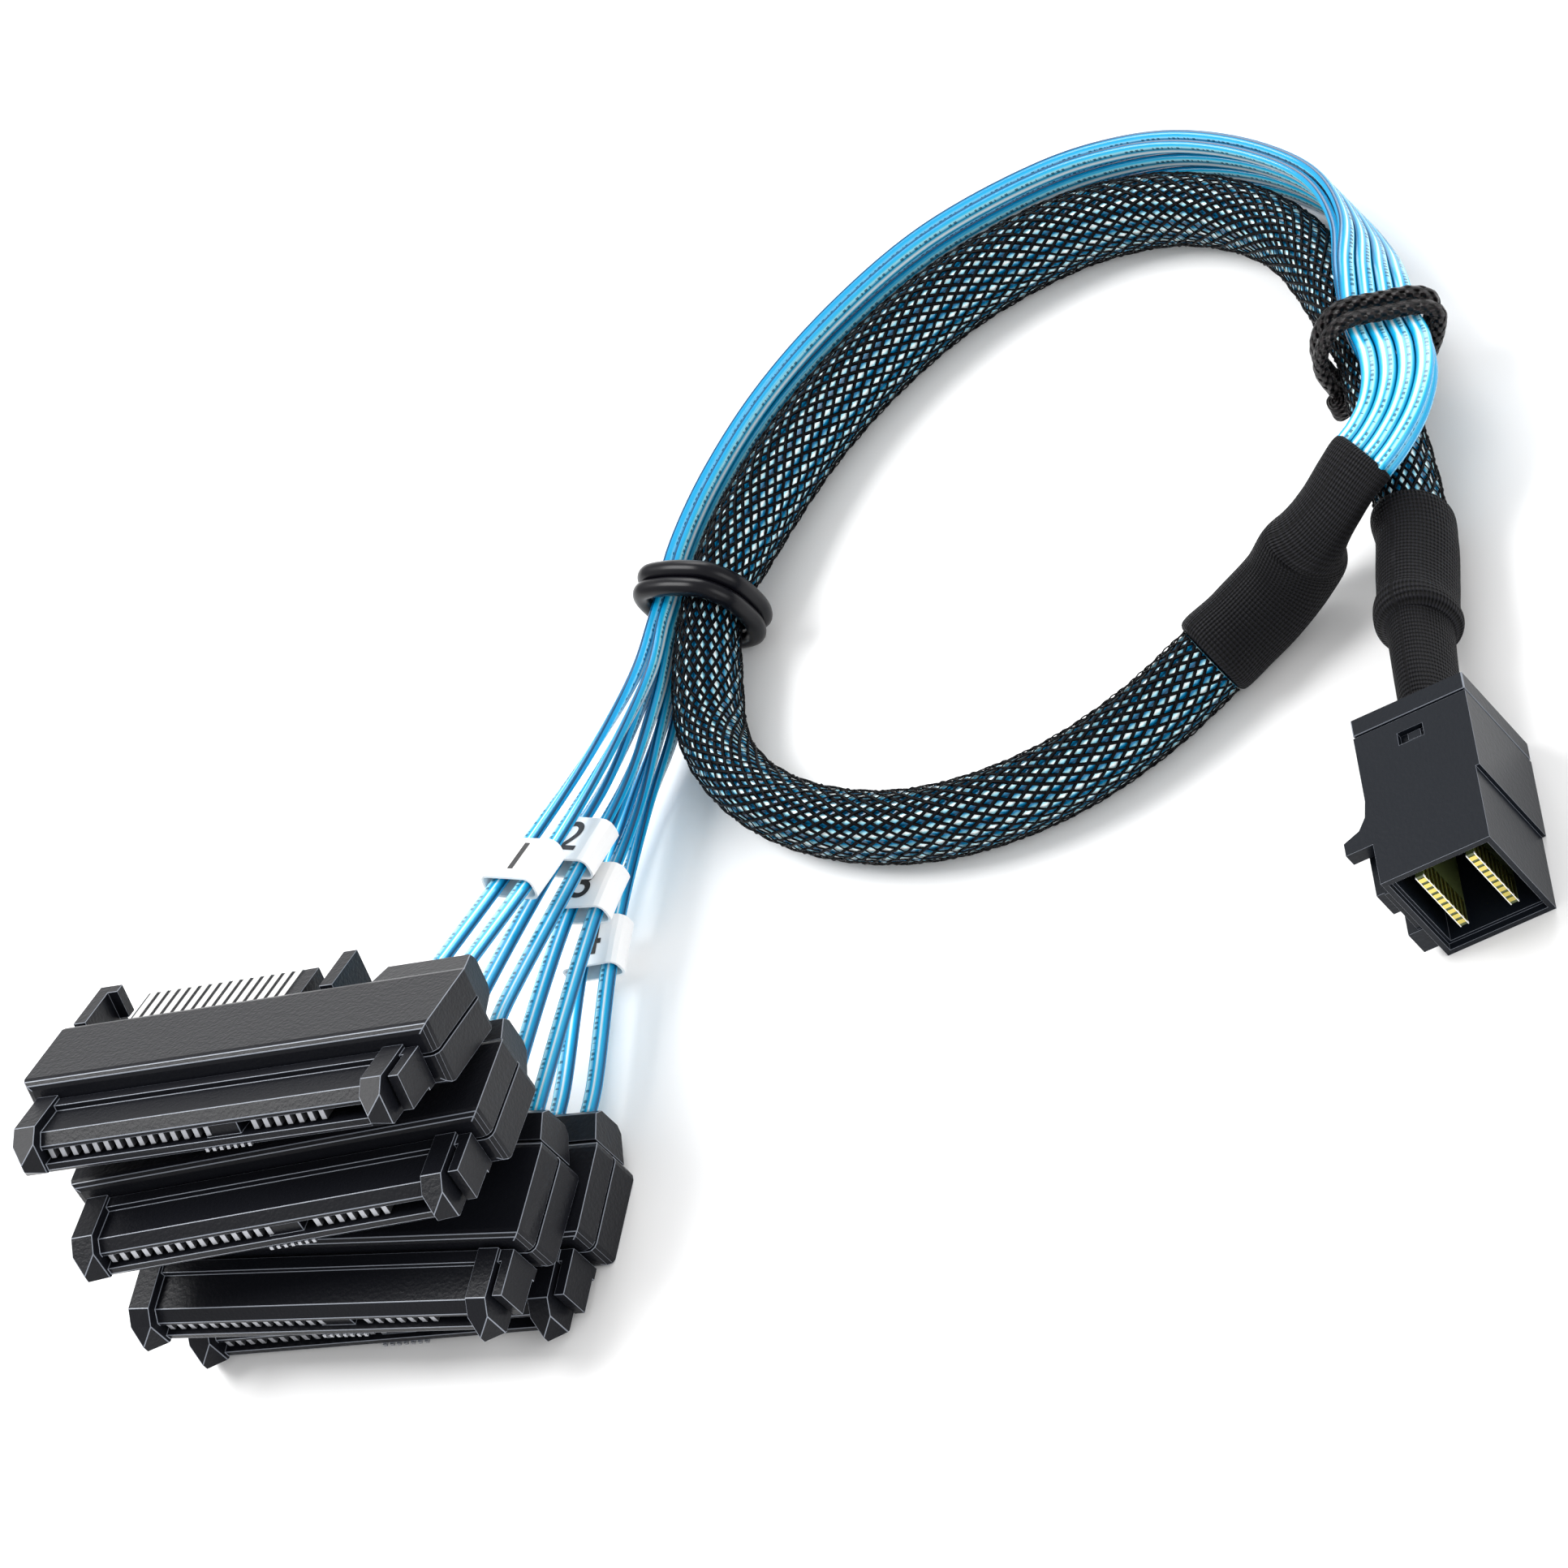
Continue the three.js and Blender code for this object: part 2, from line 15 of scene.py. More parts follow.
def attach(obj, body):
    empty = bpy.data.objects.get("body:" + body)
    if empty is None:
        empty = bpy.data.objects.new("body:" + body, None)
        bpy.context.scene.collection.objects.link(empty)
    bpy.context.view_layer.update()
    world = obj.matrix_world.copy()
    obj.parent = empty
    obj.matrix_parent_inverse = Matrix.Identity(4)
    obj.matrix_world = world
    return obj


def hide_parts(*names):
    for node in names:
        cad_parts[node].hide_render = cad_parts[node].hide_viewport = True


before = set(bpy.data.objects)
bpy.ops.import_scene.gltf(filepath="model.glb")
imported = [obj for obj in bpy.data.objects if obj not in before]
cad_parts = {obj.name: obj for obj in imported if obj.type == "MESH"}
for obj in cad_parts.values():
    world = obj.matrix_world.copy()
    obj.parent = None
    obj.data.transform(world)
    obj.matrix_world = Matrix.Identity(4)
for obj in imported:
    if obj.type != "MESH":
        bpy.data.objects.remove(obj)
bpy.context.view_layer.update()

# %% [markdown]
# ## Sizes and routes
# All places are metres. The part's middle was moved to the origin, so every point measured on
# the photograph shifts by the same amount. Each route is a short list of given points,
# and it is the same list that the CAD part uses.

# %% Routes of the cords
MM = 0.001
SHIFT = np.array([8.85, 11.6, 0.0])

# Where the two ties sit, and how far and how near to them they draw the sleeve in.
CORD_TIE_AT, RUBBER_TIE_AT = (58.3, 33.3, 5.9), (-12.7, 39.5, 6.3)
CINCH, CINCH_REACH = 0.16, 6.0

# The braid's middle line: x, y, z.
BRAID_ROUTE = [
    (59.4, 13.5, 4.9), (59.4, 16.5, 5.0), (59.2, 23.0, 5.6), (58.7, 29.0, 5.8), CORD_TIE_AT,
    (57.4, 37.8, 5.6), (55.6, 45.0, 4.8), (52.6, 52.3, 4.4), (48.0, 58.0, 4.4),
    (41.5, 62.7, 4.4), (35.3, 65.0, 4.4), (28.6, 66.0, 4.4), (17.5, 65.0, 4.4),
    (8.1, 61.6, 4.4), (0.0, 56.4, 4.6), (-6.6, 49.6, 5.2), (-11.0, 42.9, 6.1), RUBBER_TIE_AT,
    (-14.5, 34.2, 5.5), (-15.6, 25.8, 4.4), (-13.2, 18.9, 4.4), (-8.5, 12.8, 4.4),
    (-2.0, 7.8, 4.4), (5.1, 4.5, 4.4), (13.0, 2.9, 4.4), (21.2, 3.0, 4.4),
    (29.7, 5.1, 4.4), (36.9, 8.2, 4.6),
]

# The ribbons' middle line: x, y, z, lean in degrees and the distance between rows.
BUNDLE_ROUTE = [
    (58.6, 17.6, 11.5, 90, 1.8), (60.0, 18.6, 11.6, 90, 1.8), (62.0, 21.0, 11.6, 88, 1.8),
    (63.2, 24.2, 11.4, 82, 1.8), (63.2, 28.4, 10.7, 72, 1.8), (61.9, 33.6, 9.5, 62, 1.8),
    (61.35, 40.3, 8.6, 40, 1.8), (60.3, 47.5, 6.3, 12, 1.9), (57.2, 55.6, 4.7, 0, 2.0),
    (51.6, 62.3, 4.5, 0, 2.1), (43.8, 67.7, 4.5, 0, 2.3), (36.4, 70.3, 4.5, 0, 2.4),
    (28.8, 71.3, 4.5, 0, 2.4), (16.4, 70.2, 4.5, 0, 2.4), (5.6, 66.3, 4.5, 0, 2.2),
    (-3.6, 60.4, 4.7, 0, 2.0), (-10.6, 52.8, 5.2, 0, 1.85), (-14.8, 45.5, 5.8, 0, 1.8),
    (-16.3, 41.4, 5.9, 0, 1.8), (-17.7, 38.4, 5.9, 0, 1.8),
]

# Three points for each pair of ribbons after the rubber tie: x, y, z and lean in degrees.
FAN = [
    [(-19.7, 32.7, 9.3, 15), (-24.6, 23.8, 11.2, 50), (-31.0, 11.6, 15.6, 85)],
    [(-20.3, 30.9, 7.4, 15), (-24.5, 21.7, 8.7, 50), (-30.3, 11.3, 11.6, 85)],
    [(-20.9, 29.7, 5.5, 15), (-25.0, 20.0, 6.1, 50), (-30.4, 8.5, 8.2, 85)],
    [(-21.0, 29.3, 3.5, 15), (-25.4, 21.9, 3.3, 50), (-30.9, 9.8, 3.3, 85)],
]

# Each connector: place, yaw and nose-up pitch in degrees.
CONNECTORS = [
    ((-59.0, -11.9, 25.6), -17.7, 27.5), ((-58.7, -17.1, 17.1), -15.5, 15.0),
    ((-59.5, -20.0, 7.15), -23.2, 0.0), ((-57.3, -18.0, 0.0), -20.4, 0.0),
]
PLUG_AT = np.array([58.4, -31.9, 0.0])

# The two ribbons of a pair: distance in the bundle and at the connector, and the half sizes of one ribbon.
RIBBON_COLUMN, RIBBON_SPREAD = 1.12, 3.6
RIBBON_HALF, RIBBON_HALF_THICK = 0.87, 0.49
FAN_SPREADS = (0.22, 0.48, 0.86)
UP = np.array([0.0, 0.0, 1.0])
print("routes:", len(BRAID_ROUTE), "points for the braid,", len(BUNDLE_ROUTE), "for the ribbons")

# %% [markdown]
# ## A smooth run through the points
# A centripetal Catmull-Rom curve passes through every point without loops: the knot spacing is
# the square root of the distance between points. We sample it finely, then keep even steps.

# %% Curves and frames
def smooth(points, fine=24):
    """Centripetal Catmull-Rom curve through the points: knots t[i+1] = t[i] + |p[i+1]-p[i]|^0.5."""
    p = np.asarray(points, float)
    ends = np.vstack([2 * p[0] - p[1], p, 2 * p[-1] - p[-2]])
    knots = [np.sqrt(np.linalg.norm(b[:3] - a[:3])) for a, b in zip(ends[:-1], ends[1:])]
    out = []
    for i in range(len(p) - 1):
        a, b, c, d = ends[i:i + 4]
        d0, d1, d2 = knots[i], knots[i + 1], knots[i + 2]
        slope0 = ((b - a) / d0 - (c - a) / (d0 + d1) + (c - b) / d1) * d1
        slope1 = ((c - b) / d1 - (d - b) / (d1 + d2) + (d - c) / d2) * d1
        s = np.linspace(0, 1, fine, endpoint=False)[:, None]
        out.append((2 * s**3 - 3 * s**2 + 1) * b + (s**3 - 2 * s**2 + s) * slope0
                   + (-2 * s**3 + 3 * s**2) * c + (s**3 - s**2) * slope1)
    out.append(p[-1:])
    return np.vstack(out)


def even(points, count):
    """The same line with count points at even distances along it."""
    seg = np.linalg.norm(np.diff(points[:, :3], axis=0), axis=1)
    s = np.concatenate([[0], np.cumsum(seg)])
    t = np.linspace(0, s[-1], count)
    return np.stack([np.interp(t, s, points[:, k]) for k in range(points.shape[1])], 1)


def length_of(points):
    """The sum of the distances between neighbouring points."""
    return float(np.linalg.norm(np.diff(points[:, :3], axis=0), axis=1).sum())


def turned(v, axis, degrees):
    """Rodrigues' rotation of each row of v about the matching row of axis."""
    a = np.radians(degrees)[:, None]
    return (v * np.cos(a) + np.cross(axis, v) * np.sin(a)
            + axis * (axis * v).sum(1, keepdims=True) * (1 - np.cos(a)))


def frames(points, lean=None):
    """Tangent, upright and across for each point. Upright is +Z made square to the tangent, then leaned."""
    tangent = np.gradient(points[:, :3], axis=0)
    tangent /= np.linalg.norm(tangent, axis=1, keepdims=True)
    upright = UP - tangent * tangent[:, 2:3]
    upright /= np.linalg.norm(upright, axis=1, keepdims=True)
    if lean is not None:
        upright = turned(upright, tangent, -np.asarray(lean, float))
    return tangent, upright, np.cross(tangent, upright)


def cinched(line):
    """How much each point of the sleeve keeps of its size: 1 - c exp(-(d / reach)^2) near a tie."""
    ties = (CORD_TIE_AT, RUBBER_TIE_AT)
    near = np.min([np.linalg.norm(line[:, :3] - np.array(tie), axis=1) for tie in ties], axis=0)
    return 1 - CINCH * np.exp(-(near / CINCH_REACH) ** 2)


braid_line = even(smooth(BRAID_ROUTE), 420)
print("braided sleeve is", round(length_of(braid_line), 1), "mm long")

# %% [markdown]
# ## Meshes from grids
# Nearly every piece is a grid of points: rows run along the piece and columns run round it.
# One helper turns such a grid into a mesh, closes it round and caps its ends.

# %% Mesh helpers
ENOUGH_FACES = 4000


def to_world(points_mm):
    return (np.asarray(points_mm, float) + SHIFT) * MM


def outward_volume(points, faces):
    """Sum of a . (b x c) over one triangle of each face, from the middle: positive when faces look out."""
    total = 0.0
    middle = points.mean(0)
    for face in faces[:ENOUGH_FACES]:
        a, b, c = points[face[0]] - middle, points[face[1]] - middle, points[face[2]] - middle
        total += float(a @ np.cross(b, c))
    return total


def mesh_piece(name, verts_mm, faces, mat, smooth_faces=True, uv=None):
    """A mesh object from millimetre points before the shift, riding on the one body."""
    mesh = bpy.data.meshes.new(name)
    mesh.from_pydata(to_world(verts_mm).tolist(), [], faces)
    if uv is not None:
        layer = mesh.uv_layers.new(name="run")
        loops = np.zeros(len(mesh.loops), np.int32)
        mesh.loops.foreach_get("vertex_index", loops)
        layer.data.foreach_set("uv", np.asarray(uv, np.float32)[loops].ravel())
    mesh.polygons.foreach_set("use_smooth", [smooth_faces] * len(mesh.polygons))
    mesh.materials.append(mat)
    if outward_volume(np.asarray(verts_mm, float), faces) < 0:
        mesh.flip_normals()
    mesh.update()
    obj = bpy.data.objects.new(name, mesh)
    bpy.context.scene.collection.objects.link(obj)
    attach(obj, "root")
    return obj


def grid_faces(rows, cols, start=0, caps=True):
    """Quads of a grid that closes round its columns, with a cap on each end."""
    faces = []
    for i in range(rows - 1):
        a, b = start + i * cols, start + (i + 1) * cols
        for j in range(cols):
            k = (j + 1) % cols
            faces.append((a + j, a + k, b + k, b + j))
    if caps:
        faces.append(tuple(start + j for j in reversed(range(cols))))
        faces.append(tuple(start + (rows - 1) * cols + j for j in range(cols)))
    return faces


def tube(line, lean, half_up, half_across, cols, ripple=None):
    """Rings of an oval tube: centre + upright*half_up*cos(a) + across*half_across*sin(a), times ripple."""
    _, upright, across = frames(line, lean)
    angle = 2 * np.pi * np.arange(cols) / cols
    rows = len(line)
    hu = np.broadcast_to(np.asarray(half_up, float).reshape(-1, 1), (rows, cols)).copy()
    ha = np.broadcast_to(np.asarray(half_across, float).reshape(-1, 1), (rows, cols)).copy()
    if ripple is not None:
        hu *= ripple
        ha *= ripple
    ring = (line[:, None, :3] + upright[:, None] * (hu * np.cos(angle))[..., None]
            + across[:, None] * (ha * np.sin(angle))[..., None])
    along = np.concatenate([[0], np.cumsum(np.linalg.norm(np.diff(line[:, :3], axis=0), axis=1))])
    uv = np.stack([np.broadcast_to(along[:, None], (rows, cols)),
                   np.broadcast_to(np.arange(cols) / cols, (rows, cols))], -1)
    return ring.reshape(-1, 3), uv.reshape(-1, 2)


def joined(parts):
    """Several (points, faces) blocks as one list of points and faces."""
    points, faces, start = [], [], 0
    for p, f in parts:
        points.append(np.asarray(p, float))
        faces += [tuple(start + i for i in face) for face in f]
        start += len(p)
    return np.vstack(points), faces


def block(x0, x1, y0, y1, z0, z1):
    """Corners and faces of a plain block."""
    p = [(x, y, z) for z in (z0, z1) for y in (y0, y1) for x in (x0, x1)]
    f = [(0, 2, 3, 1), (4, 5, 7, 6), (0, 1, 5, 4), (2, 6, 7, 3), (0, 4, 6, 2), (1, 3, 7, 5)]
    return np.array(p, float), f


print("helpers ready")

# %% [markdown]
# ## Materials
# Every look is procedural. A small helper sets up a Principled shader, and bump comes from
# noise or waves in Object coordinates, so the grain keeps its real size in metres.

# %% Materials
def material(name, color, rough, metal=0.0, spec=0.5):
    mat = bpy.data.materials.new(name)
    mat.use_nodes = True
    shader = mat.node_tree.nodes["Principled BSDF"]
    shader.inputs["Base Color"].default_value = (*color, 1)
    shader.inputs["Roughness"].default_value = rough
    shader.inputs["Metallic"].default_value = metal
    shader.inputs["Specular IOR Level"].default_value = spec
    return mat


def nodes_of(mat):
    tree = mat.node_tree
    return tree.nodes, tree.links, tree.nodes["Principled BSDF"]


def grain(mat, scale, strength, distance):
    """Fine leather grain: noise of a given scale per metre pushes the normal."""
    nodes, links, shader = nodes_of(mat)
    place = nodes.new("ShaderNodeTexCoord")
    noise = nodes.new("ShaderNodeTexNoise")
    noise.inputs["Scale"].default_value = scale
    noise.inputs["Detail"].default_value = 3
    bump = nodes.new("ShaderNodeBump")
    bump.inputs["Strength"].default_value = strength
    bump.inputs["Distance"].default_value = distance
    links.new(place.outputs["Object"], noise.inputs["Vector"])
    links.new(noise.outputs["Fac"], bump.inputs["Height"])
    links.new(bump.outputs["Normal"], shader.inputs["Normal"])
    return mat


housing = grain(material("housing black", (0.006, 0.0065, 0.009), 0.34, 0.0, 0.17), 2600, 0.35, 0.00012)
plug_black = grain(material("plug black", (0.006, 0.008, 0.012), 0.34, 0.0, 0.13), 2600, 0.25, 0.0001)
# A lighter grey painted on the rounded edges of the black mouldings as a highlight along each corner.
painted_edge_highlight = material("painted highlight edge", (0.20, 0.22, 0.26), 0.30)
rubber = material("smooth rubber", (0.003, 0.003, 0.005), 0.28, 0.0, 0.20)
strand = material("braid strand", (0.001, 0.001, 0.002), 0.50, 0.0, 0.08)
foil = material("silver contact", (0.80, 0.80, 0.78), 0.30, 1.0)
tick = material("dull contact", (0.42, 0.43, 0.46), 0.45, 1.0)
gold = material("gold pad", (0.75, 0.62, 0.16), 0.28, 1.0)
board = material("circuit board", (0.07, 0.09, 0.03), 0.40)
white = material("white label", (0.90, 0.90, 0.90), 0.45)
ink = material("black ink", (0.01, 0.01, 0.012), 0.5)


def ramp(mat, stops, coordinate, scale, offset=0.0):
    """Colour bands across a piece: fract(uv.y * scale + offset) looked up in a list of colours."""
    nodes, links, shader = nodes_of(mat)
    place = nodes.new("ShaderNodeUVMap")
    place.uv_map = "run"
    split = nodes.new("ShaderNodeSeparateXYZ")
    times = nodes.new("ShaderNodeMath")
    times.operation = "MULTIPLY_ADD"
    times.inputs[1].default_value = scale
    times.inputs[2].default_value = offset
    part = nodes.new("ShaderNodeMath")
    part.operation = "FRACT"
    bands = nodes.new("ShaderNodeValToRGB")
    while len(bands.color_ramp.elements) < len(stops):
        bands.color_ramp.elements.new(0.5)
    for element, (where, color) in zip(bands.color_ramp.elements, stops):
        element.position = where
        element.color = (*color, 1)
    links.new(place.outputs["UV"], split.inputs[0])
    links.new(split.outputs[coordinate], times.inputs[0])
    links.new(times.outputs[0], part.inputs[0])
    links.new(part.outputs[0], bands.inputs[0])
    links.new(bands.outputs[0], shader.inputs["Base Color"])
    return mat


def printed(mat, low, high, per_mm):
    """Small plain ticks in a band across a ribbon: low < fract(2 uv.y) < high, on where a square wave
    of per_mm ticks and a slow noise along uv.x are both high. They darken the colour below them."""
    nodes, links, shader = nodes_of(mat)
    place = nodes.new("ShaderNodeUVMap")
    place.uv_map = "run"
    split = nodes.new("ShaderNodeSeparateXYZ")
    links.new(place.outputs["UV"], split.inputs[0])

    def math_node(kind, first, second):
        node = nodes.new("ShaderNodeMath")
        node.operation = kind
        for slot, value in zip(node.inputs, (first, second)):
            if isinstance(value, float):
                slot.default_value = value
            elif value is not None:
                links.new(value, slot)
        return node.outputs[0]

    side = math_node("FRACT", math_node("MULTIPLY", split.outputs["Y"], 2.0), None)
    band = math_node("MULTIPLY", math_node("GREATER_THAN", side, low), math_node("LESS_THAN", side, high))
    wave = math_node("FRACT", math_node("MULTIPLY", split.outputs["X"], per_mm), None)
    noise = nodes.new("ShaderNodeTexNoise")
    noise.noise_dimensions = "1D"
    noise.inputs["Scale"].default_value = 0.9
    links.new(split.outputs["X"], noise.inputs["W"])
    words = math_node("GREATER_THAN", noise.outputs["Fac"], 0.47)
    ticks = math_node("MULTIPLY", math_node("LESS_THAN", wave, 0.55), words)
    mask = math_node("MULTIPLY", band, ticks)
    mix = nodes.new("ShaderNodeMixRGB")
    mix.inputs["Color2"].default_value = (0.0, 0.05, 0.10, 1)
    before = shader.inputs["Base Color"].links[0].from_socket
    links.new(math_node("MULTIPLY", mask, 0.75), mix.inputs["Fac"])
    links.new(before, mix.inputs["Color1"])
    links.new(mix.outputs[0], shader.inputs["Base Color"])
    return mat


# Ribbon colours: the blue and cyan are the clear jacket over its silver foil. The navy at one edge is
# painted shade in the gap between ribbons. The pale and near-white bands are painted highlights on the two
# rounded cores; the near-white one stands for the foil catching a lamp through the jacket.
NAVY_SHADE, BLUE, CYAN = (0.0, 0.04, 0.11), (0.0, 0.26, 0.54), (0.02, 0.50, 0.80)
PALE_HIGHLIGHT, SILVER_FOIL_HIGHLIGHT = (0.44, 0.87, 0.98), (0.97, 1.0, 1.0)
ribbon_look = printed(ramp(material("clear blue ribbon", BLUE, 0.20), [
    (0.00, NAVY_SHADE), (0.10, BLUE), (0.24, CYAN), (0.38, SILVER_FOIL_HIGHLIGHT), (0.50, CYAN),
    (0.60, BLUE), (0.80, PALE_HIGHLIGHT), (0.90, CYAN), (1.00, BLUE)], "Y", 2.0), 0.60, 0.80, 1.7)
# On the core inside the braid, each ridge gets a near-white painted highlight on its crest and navy painted
# shade in the grooves either side.
core_look = ramp(material("ribbons in the braid", BLUE, 0.25), [
    (0.00, NAVY_SHADE), (0.16, BLUE), (0.33, PALE_HIGHLIGHT), (0.50, SILVER_FOIL_HIGHLIGHT), (0.66, PALE_HIGHLIGHT), (0.84, BLUE), (1.00, NAVY_SHADE)],
    "Y", 14.0, 0.5)


def woven(name, color, rough, first, second, depth, spec=0.18):
    """Two families of threads: each (a, b) is a wave sin(2 pi (a uv.x + b uv.y)), in bump and colour; the
    colour is painted shade in the grooves and painted highlight on the thread tops.
    """
    mat = material(name, color, rough, 0.0, spec)
    nodes, links, shader = nodes_of(mat)
    place = nodes.new("ShaderNodeUVMap")
    place.uv_map = "run"
    waves = []
    for along, around in (first, second):
        phase = nodes.new("ShaderNodeVectorMath")
        phase.operation = "DOT_PRODUCT"
        phase.inputs[1].default_value = (2 * math.pi * along, 2 * math.pi * around, 0)
        sine = nodes.new("ShaderNodeMath")
        sine.operation = "SINE"
        links.new(place.outputs["UV"], phase.inputs[0])
        links.new(phase.outputs["Value"], sine.inputs[0])
        waves.append(sine)
    mixed = nodes.new("ShaderNodeMath")
    mixed.operation = "ADD"
    links.new(waves[0].outputs[0], mixed.inputs[0])
    links.new(waves[1].outputs[0], mixed.inputs[1])
    bump = nodes.new("ShaderNodeBump")
    bump.inputs["Strength"].default_value = 1.0
    bump.inputs["Distance"].default_value = depth
    links.new(mixed.outputs[0], bump.inputs["Height"])
    level = nodes.new("ShaderNodeMath")
    level.operation = "MULTIPLY_ADD"
    level.inputs[1].default_value = level.inputs[2].default_value = 0.5
    # The colour follows the weave's height: the black in the grooves between threads is painted shade, and
    # the brighter thread tops are a painted highlight.
    threads = nodes.new("ShaderNodeValToRGB")
    threads.color_ramp.elements[0].color = (0.0, 0.0, 0.0, 1)
    threads.color_ramp.elements[1].color = (*(3.2 * v for v in color), 1)
    links.new(mixed.outputs[0], level.inputs[0])
    links.new(level.outputs[0], threads.inputs[0])
    links.new(threads.outputs[0], shader.inputs["Base Color"])
    links.new(bump.outputs["Normal"], shader.inputs["Normal"])
    return mat


tape = woven("woven tape", (0.004, 0.004, 0.0055), 0.62, (2.2, 0), (0, 70), 0.00016)
cord_look = woven("braided cord", (0.007, 0.005, 0.0055), 0.34, (0.8, 5), (0.8, -5), 0.00030, 0.40)
print("materials:", len(bpy.data.materials))

# %% [markdown]
# ## The hard pieces
# The CAD nodes already have the right shape, so most of them stay on show. Welding their
# vertices and rounding their edges a little, then painting the rounded edges a lighter grey
# as a highlight, gives each moulding a thin bright line along its corners.

# %% Dress the CAD mouldings
def dress(node, mat, width, rim=None):
    """Welds a CAD node, rounds its edges by width metres and gives it a look, with an optional rim material
    painted on the rounded edges as a highlight.
    """
    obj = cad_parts[node]
    obj.data.materials.clear()
    obj.data.materials.append(mat)
    if rim:
        obj.data.materials.append(rim)
    weld = obj.modifiers.new("weld", "WELD")
    weld.merge_threshold = 1e-6
    soft = obj.modifiers.new("soft edges", "BEVEL")
    soft.width = width
    soft.segments = 2
    soft.limit_method = "ANGLE"
    soft.angle_limit = math.radians(20)
    soft.harden_normals = True
    soft.use_clamp_overlap = True
    # The rounded edges take the second material, a lighter grey painted on as a highlight.
    soft.material = 1 if rim else -1
    return obj


CONNECTOR_KINDS = {"cover_lower": 0.00006, "cover_upper": 0.00006, "drive_socket": 0.00006,
                   "power_plug": 0.00005, "cable_block": 0.00006}
dressed = [dress(f"{kind}_{k}", housing, width, painted_edge_highlight)
           for k in (1, 2, 3, 4) for kind, width in CONNECTOR_KINDS.items()]
dressed.append(dress("plug_shell", plug_black, 0.0001, painted_edge_highlight))
dressed.append(dress("plug_cover", plug_black, 0.00012, painted_edge_highlight))
dressed.append(dress("plug_card_left", board, 0.00002))
dressed.append(dress("plug_card_right", board, 0.00002))
print("dressed", len(dressed), "CAD nodes")

# %% [markdown]
# ## Contacts
# Contacts are small repeated blocks. Each connector has its own turned frame: a yaw about +Z
# and a nose-up pitch about X, so one function carries local points to their place.

# %% Contacts
def connector_points(k, points):
    """Local millimetres of connector k to the measured frame: Rz(yaw) Rx(-nose) p + at."""
    at, yaw, nose = CONNECTORS[k]
    turn = Matrix.Rotation(math.radians(yaw), 3, "Z") @ Matrix.Rotation(math.radians(-nose), 3, "X")
    return np.asarray(points, float) @ np.array(turn).T + np.array(at)


def row_of_blocks(first, pitch, count, width, depth, height):
    """Boxes that repeat along x: each is (x0, x1, y0, y1, z0, z1), with depth and height as (low, high)."""
    starts = [first + pitch * i for i in range(count)]
    return [(x, x + width, *depth, *height) for x in starts]


def contact_piece(name, boxes, place, mat):
    points, faces = joined([block(*b) for b in boxes])
    piece = mesh_piece(name, place(points), faces, mat, False)


MOUTH_DEPTH, MOUTH_HEIGHT = (-6.1, -3.0), (1.85, 2.85)
LIP_DEPTH, LIP_HEIGHT = (-6.75, -5.8), (0.50, 0.86)
TONGUE_DEPTH, TONGUE_HEIGHT = (10.7, 16.42), (5.48, 5.62)
for k in range(4):
    ticks = row_of_blocks(-18.6, 1.27, 15, 0.55, MOUTH_DEPTH, MOUTH_HEIGHT)
    ticks += row_of_blocks(4.6, 1.27, 7, 0.55, MOUTH_DEPTH, MOUTH_HEIGHT)
    ticks += row_of_blocks(-1.2, 0.8, 7, 0.36, LIP_DEPTH, LIP_HEIGHT)
    fingers = row_of_blocks(-16.6, 1.2, 15, 0.75, TONGUE_DEPTH, TONGUE_HEIGHT)
    contact_piece(f"socket_contacts_{k + 1}", ticks, lambda points: connector_points(k, points), tick)
    contact_piece(f"power_fingers_{k + 1}", fingers, lambda points: connector_points(k, points), foil)

CARD_MIDDLE, PAD_FIRST, PAD_PITCH, PAD_HEIGHT = 2.6, 2.62, 0.95, 0.58
for side, name in ((-1, "left"), (1, "right")):
    x = side * CARD_MIDDLE
    heights = [PAD_FIRST + PAD_PITCH * i for i in range(9)]
    pads = [(x - 0.46, x + 0.46, 0.74, 3.2, z, z + PAD_HEIGHT) for z in heights]
    edges = [(x0, x0 + 0.08, 0.72, 0.9, 2.2, 11.2) for x0 in (x - 0.44, x + 0.36)]
    contact_piece(f"card_pads_{name}", pads, lambda points: points + PLUG_AT, gold)
    contact_piece(f"card_edge_{name}", edges, lambda points: points + PLUG_AT, white)
print("contacts done")

# %% [markdown]
# ## The open braid
# The sleeve is two families of strands that wind in opposite senses round an oval tube. A
# strand at angle a(s) = a0 +/- turn * s rises and dips as it crosses the other family, which
# is the weave. Below it lies a core whose ridges are the ribbons inside, with a painted
# highlight on each crest and painted shade in each groove.

# %% Braided sleeve
STRANDS = 24
TURN = 2 * math.pi / STRANDS / 1.75
STEPS_PER_CROSSING = 4
STRAND_LIFT = 0.075
STRAND_SECTION = ((-0.20, 0.0), (0.0, 0.08), (0.20, 0.0), (0.0, -0.05))
BRAID_HALF_UP, BRAID_HALF_ACROSS = 4.28, 3.18
CORE_HALF_UP, CORE_HALF_ACROSS, CORE_RIDGES = 4.09, 2.99, 14


